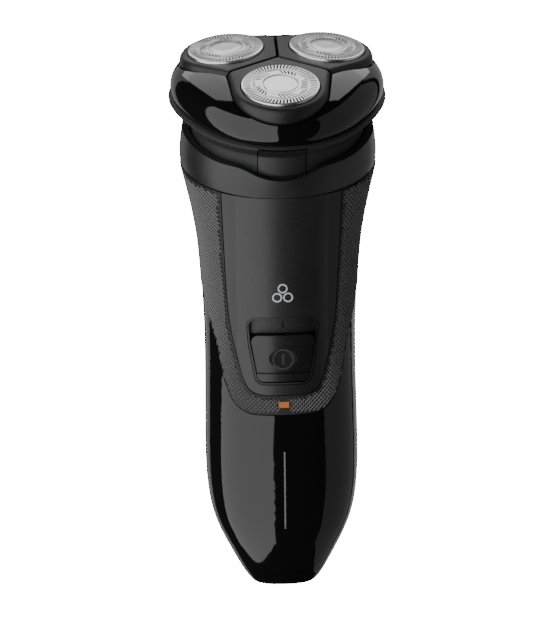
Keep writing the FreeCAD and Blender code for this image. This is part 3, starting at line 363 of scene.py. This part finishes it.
def build_cap(shape):
    """The cap's rim, the two ridges between its tracks, the inner ridge and the dome, then the slots."""
    deep = -SLOT_DEPTH
    rim = ((10.75, deep), (10.75, -0.06), (10.82, -0.02), (11.05, -0.06), (11.3, -0.22),
           (CAP_RADIUS, -0.5), (CAP_RADIUS, -2.6), (11.0, -2.6))
    outer_ridge = ((8.05, deep), (8.2, deep), (8.42, deep), (8.44, -0.05), (8.5, 0.0),
                   (8.72, 0.0), (8.75, -0.05), (8.75, deep))
    middle_ridge = ((7.72, deep), (7.74, -0.05), (7.8, 0.0), (8.0, 0.0), (8.04, -0.05), (8.05, deep))
    inner_ridge = ((5.15, deep), (5.18, -0.02), (5.3, 0.08), (5.8, 0.10), (6.0, 0.04), (6.05, deep))
    dome = ((5.15, deep), (4.96, deep), (4.92, -0.12), (4.8, 0.0), (4.4, 0.07), (3.0, 0.13),
            (1.5, 0.10), (0, 0.09))
    for profile in (rim, outer_ridge):
        lathe(shape, profile, 180)
    for profile in (middle_ridge, inner_ridge, dome):
        lathe(shape, profile, 144)
    bars(shape, *OUTER_TRACK, OUTER_SLOTS, 0.50, math.radians(-2.2))
    bars(shape, *INNER_TRACK, INNER_SLOTS, 0.50, INNER_SLANT,
         keep=lambda index: index // SLOT_GROUP % 2 == 0)
    bars(shape, *INNER_TRACK, LAND_COUNT, 0.93, INNER_SLANT,
         keep=lambda index: index % 2 == 1, start=LAND_START)


# A flat near-black ring just under the slots: painted shade standing in for the dark hollow below them.
def build_painted_slot_shade(shape):
    lathe(shape, ((4.9, -0.62), (10.95, -0.62), (10.95, -0.5), (4.9, -0.5)), 120, closed=True)


def build_dimples(shape):
    """Pairs of small near-black discs on the lands of the inner track: painted shade standing in for pressed
    pits.
    """
    for group in range(LAND_COUNT):
        if group % 2 == 0:
            continue
        for column in range(4):
            for row in range(3):
                radius = 6.35 + 0.5 * row
                turn = (group + (column - 1.5) * 0.22) / LAND_COUNT + LAND_START
                angle = 2 * math.pi * turn
                centre = ring_point(radius, angle + 0.02 * row, 0.006)
                made = bmesh.ops.create_circle(shape, cap_ends=True, radius=0.11 * MM, segments=8)
                bmesh.ops.translate(shape, verts=made["verts"], vec=centre)


def add_cutter_caps():
    cap_mesh = mesh_from("cap", build_cap, 32)
    slot_shade_mesh = mesh_from("painted_slot_shade", build_painted_slot_shade, 30)
    dimple_mesh = mesh_from("dimples", build_dimples)
    for side in SIDES:
        place = holder_matrix(side)
        for part, mesh, material in (("cutter_face", cap_mesh, CAP_METAL),
                                     ("painted_slot_shade", slot_shade_mesh, SLOT_PAINTED_SHADE),
                                     ("cutter_dimples", dimple_mesh, SLOT_PAINTED_SHADE)):
            own = mesh.copy()
            own.transform(place)
            new_piece(side + "_" + part, own, material, side + "_holder")
        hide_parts(side + "_cutter_cap")


# ---------------------------------------------------------------- knurled grip

KNURL_ACROSS = 1.42
KNURL_TALL = 1.36
KNURL_HEIGHT = 0.26
PIT_SHARE = 0.52             # size of the pit in each diamond of the net
PIT_LIFT = 0.02
MARGIN = 1.3                 # how far past its own corners a diamond needs grip under it
SAME_FACE = 0.9              # least cosine between the normals at a corner and its pit
GRIP_MEAN_RADIUS = 24.0


def surface_tree(name):
    return BVHTree.FromPolygons([vertex.co for vertex in NODES[name].data.vertices],
                                [tuple(face.vertices) for face in NODES[name].data.polygons])


def spine_y(height):
    """Where the middle of the handle lies at a height, both in millimetres."""
    return 3.6 * math.sin(math.pi * min(height, 150.0) / 170.0)


def grip_point(tree, turn, height):
    """The grip's outer surface at a bearing round the handle, or None off the grip."""
    outward = Vector((math.sin(turn), -math.cos(turn), 0.0))
    middle = Vector((0.0, spine_y(height), height)) * MM
    place, normal, _, distance = tree.ray_cast(middle + outward * 0.06, -outward)
    if place is None or distance > 0.045:
        return None
    if normal.dot(outward) < 0:
        normal = -normal
    return place, normal


def knurl_cell(shape, tree, turn, height):
    """One diamond of the net: four slopes from its ridges down to its pit."""
    half_turn = KNURL_ACROSS / 2 / GRIP_MEAN_RADIUS
    half_tall = KNURL_TALL / 2
    ridge = []
    pit = []
    for across, along in ((-1, 0), (0, -1), (1, 0), (0, 1)):
        rim = grip_point(tree, turn + across * half_turn, height + along * half_tall)
        beyond = grip_point(tree, turn + across * half_turn * MARGIN, height + along * half_tall * MARGIN)
        inside = grip_point(tree, turn + across * half_turn * PIT_SHARE,
                            height + along * half_tall * PIT_SHARE)
        if rim is None or beyond is None or inside is None or rim[1].dot(inside[1]) < SAME_FACE:
            return
        ridge.append(rim[0] + rim[1] * KNURL_HEIGHT * MM)
        pit.append(inside[0] + inside[1] * PIT_LIFT * MM)
    high = [shape.verts.new(point) for point in ridge]
    low = [shape.verts.new(point) for point in pit]
    # Only the four slopes are made; the pit's middle stays open, so the near-black grip beneath shows there
    # as painted shade.
    for step in range(4):
        after = (step + 1) % 4
        shape.faces.new((high[step], high[after], low[after], low[step]))


def close_net_edge(shape, outward_drop):
    """Brings the outer edge of the net down onto the grip."""
    bmesh.ops.remove_doubles(shape, verts=shape.verts, dist=0.00003)
    edge_of_net = []
    for edge in shape.edges:
        if edge.is_boundary:
            pit_side = [vert for vert in edge.link_faces[0].verts if vert not in edge.verts]
            if edge.verts[0].co.xy.length > pit_side[0].co.xy.length:
                edge_of_net.append(edge)
    made = bmesh.ops.extrude_edge_only(shape, edges=edge_of_net)
    for item in made["geom"]:
        if isinstance(item, bmesh.types.BMVert):
            outward = Vector((item.co.x, item.co.y - spine_y(item.co.z / MM) * MM, 0.0)).normalized()
            item.co -= outward * outward_drop


def add_knurl():
    """A net of ridges with diamond pits over the whole grip."""
    tree = surface_tree("grip")
    low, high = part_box("grip")
    rows = int((high[2] - low[2]) / MM / (KNURL_TALL / 2))
    columns = int(2 * math.pi * GRIP_MEAN_RADIUS / KNURL_ACROSS)

    def build(shape):
        for row in range(rows):
            height = low[2] / MM + row * KNURL_TALL / 2
            for column in range(columns):
                turn = 2 * math.pi * (column + (row % 2) / 2 - columns // 2) / columns
                knurl_cell(shape, tree, turn, height)
        close_net_edge(shape, (KNURL_HEIGHT + 0.05) * MM)

    new_piece("grip_knurl", mesh_from("knurl", build), RUBBER, "handle")


# ---------------------------------------------------------------- marks and symbols

def project_forward(tree, x, z, lift):
    """The point of a surface seen from the front at x and z (millimetres), lifted off it."""
    place, normal, _, _ = tree.ray_cast(Vector((x * MM, -0.1, z * MM)), Vector((0, 1, 0)))
    if normal.y > 0:
        normal = -normal
    return place + normal * lift * MM


def flat_ring(shape, tree, centre, inner, outer, lift, segments=48):
    rows = []
    for step in range(segments + 1):
        angle = 2 * math.pi * step / segments
        row = []
        for radius in (inner, outer):
            x = centre[0] + radius * math.sin(angle)
            z = centre[1] + radius * math.cos(angle)
            row.append(shape.verts.new(project_forward(tree, x, z, lift)))
        rows.append(row)
    for low, high in zip(rows, rows[1:]):
        shape.faces.new((low[0], low[1], high[1], high[0]))


def flat_bar(shape, tree, centre, width, tall, lift, segments=24):
    rows = []
    for step in range(segments + 1):
        z = centre[1] - tall / 2 + tall * step / segments
        edges = [project_forward(tree, centre[0] + side * width / 2, z, lift) for side in (-1, 1)]
        rows.append([shape.verts.new(point) for point in edges])
    for low, high in zip(rows, rows[1:]):
        shape.faces.new((low[0], low[1], high[1], high[0]))


BUTTON_CENTRE = (0.0, 77.3)
RINGS_HEIGHT = 98.2
RING_SPREAD = 1.9


def add_marks():
    """The switch symbols, three plain rings on the panel and a pinstripe below."""
    slider = surface_tree("power_slider")
    tray = surface_tree("switch_tray")
    panel = surface_tree("front_panel")
    housing = surface_tree("front_housing")

    def power_symbol(shape):
        flat_ring(shape, slider, BUTTON_CENTRE, 2.75, 3.35, 0.02)
        flat_bar(shape, slider, BUTTON_CENTRE, 0.75, 3.6, 0.02)

    def on_mark(shape):
        flat_bar(shape, tray, (0.0, 88.2), 0.55, 2.2, 0.02)

    def panel_rings(shape):
        for index in range(3):
            angle = math.radians(90 + 120 * index)
            centre = (RING_SPREAD * math.cos(angle), RINGS_HEIGHT + RING_SPREAD * math.sin(angle))
            flat_ring(shape, panel, centre, 1.05, 1.5, 0.015)

    def pinstripe(shape):
        flat_bar(shape, housing, (0.0, 35.0), 0.5, 26.0, 0.015, 60)

    new_piece("power_symbol", mesh_from("power_symbol", power_symbol), SYMBOL_PAINTED_HIGHLIGHT, "power_switch")
    new_piece("on_mark", mesh_from("on_mark", on_mark), INK, "handle")
    new_piece("panel_rings", mesh_from("panel_rings", panel_rings), PALE_PRINT, "handle")
    new_piece("pinstripe", mesh_from("pinstripe", pinstripe), GREY_PRINT, "handle")


# ---------------------------------------------------------------- camera and studio

AIM = Vector((0.0, 0.0, 0.0883))
CAMERA_DISTANCE = 0.5653
CAMERA_ELEVATION = math.radians(15.0)
CAMERA_AZIMUTH = math.radians(-2.5)
CAMERA_ROLL = math.radians(-0.8)
CAMERA_LENS = 105.5
WHITE_LEVEL = 30.0            # how bright the backdrop looks to the camera
FILL_LEVEL = 0.02             # the faint light that the backdrop casts
FLOOR_SIZE = 6.0


def add_camera():
    data = bpy.data.cameras.new("camera")
    data.lens = CAMERA_LENS
    data.sensor_width = 36.0
    camera = bpy.data.objects.new("camera", data)
    bpy.context.collection.objects.link(camera)
    away = Vector((math.sin(CAMERA_AZIMUTH) * math.cos(CAMERA_ELEVATION),
                   -math.cos(CAMERA_AZIMUTH) * math.cos(CAMERA_ELEVATION), math.sin(CAMERA_ELEVATION)))
    camera.location = AIM + away * CAMERA_DISTANCE
    turn = away.to_track_quat("Z", "Y").to_matrix() @ Matrix.Rotation(CAMERA_ROLL, 3, "Z")
    camera.rotation_euler = turn.to_euler()
    bpy.context.scene.camera = camera


def add_light(name, place, target, width, height, power):
    data = bpy.data.lights.new(name, "AREA")
    data.shape = "RECTANGLE"
    data.size = width
    data.size_y = height
    data.energy = power
    light = bpy.data.objects.new(name, data)
    bpy.context.collection.objects.link(light)
    light.location = place
    light.rotation_euler = (Vector(place) - Vector(target)).to_track_quat("Z", "Y").to_euler()


def add_world():
    world = bpy.data.worlds.new("studio")
    bpy.context.scene.world = world
    world.use_nodes = True
    nodes = world.node_tree.nodes
    links = world.node_tree.links
    shown = nodes["Background"]
    shown.inputs["Color"].default_value = (1.0, 1.0, 1.0, 1.0)
    shown.inputs["Strength"].default_value = WHITE_LEVEL
    dim = nodes.new("ShaderNodeBackground")
    dim.inputs["Color"].default_value = (1.0, 1.0, 1.0, 1.0)
    dim.inputs["Strength"].default_value = FILL_LEVEL
    path = nodes.new("ShaderNodeLightPath")
    mix = nodes.new("ShaderNodeMixShader")
    links.new(path.outputs["Is Camera Ray"], mix.inputs["Fac"])
    links.new(dim.outputs["Background"], mix.inputs[1])
    links.new(shown.outputs["Background"], mix.inputs[2])
    links.new(mix.outputs["Shader"], nodes["World Output"].inputs["Surface"])


def add_floor():
    """A pale floor that melts into the backdrop and that reflections look straight through."""
    mesh = bpy.data.meshes.new("floor")
    corners = [(x * FLOOR_SIZE, y * FLOOR_SIZE, 0) for x, y in ((-1, -1), (1, -1), (1, 1), (-1, 1))]
    mesh.from_pydata(corners, [], [(0, 1, 2, 3)])
    floor = bpy.data.objects.new("floor", mesh)
    bpy.context.collection.objects.link(floor)
    floor.location.z = -0.0005
    floor.visible_glossy = False
    floor.visible_shadow = False
    floor.visible_diffuse = False
    material, nodes, links, shader = new_material("pale_floor")
    texture = noise(nodes, links, 8.0)
    colour = ramp(nodes, links, texture.outputs["Fac"], grey(0.88), grey(0.9))
    links.new(colour.outputs["Color"], shader.inputs["Base Color"])
    set_values(shader, Roughness=0.9, Specular_IOR_Level=0.1, Emission_Color=grey(1.0),
               Emission_Strength=WHITE_LEVEL * 0.8)
    mesh.materials.append(material)


def add_studio():
    add_world()
    add_floor()
    target = (0.0, 0.0, 0.0)
    add_light("left_softbox", (-0.435, -0.375, 0.0), target, 1.12, 1.8, 13.0)
    add_light("right_softbox", (0.62, 0.0, 0.0), target, 1.0, 1.8, 1.8)
    add_light("top_softbox", (0.0, 0.42, 0.80), (0.0, 0.0, 0.16), 0.9, 0.5, 2.6)
    add_light("back_left_rim", (-0.40, 0.60, 0.0), target, 0.30, 1.6, 0.8)
    add_light("back_right_rim", (0.40, 0.60, 0.0), target, 0.30, 1.6, 0.8)


# ---------------------------------------------------------------- run

add_camera()
add_studio()
dress_frame()
add_cutter_caps()
add_knurl()
add_marks()
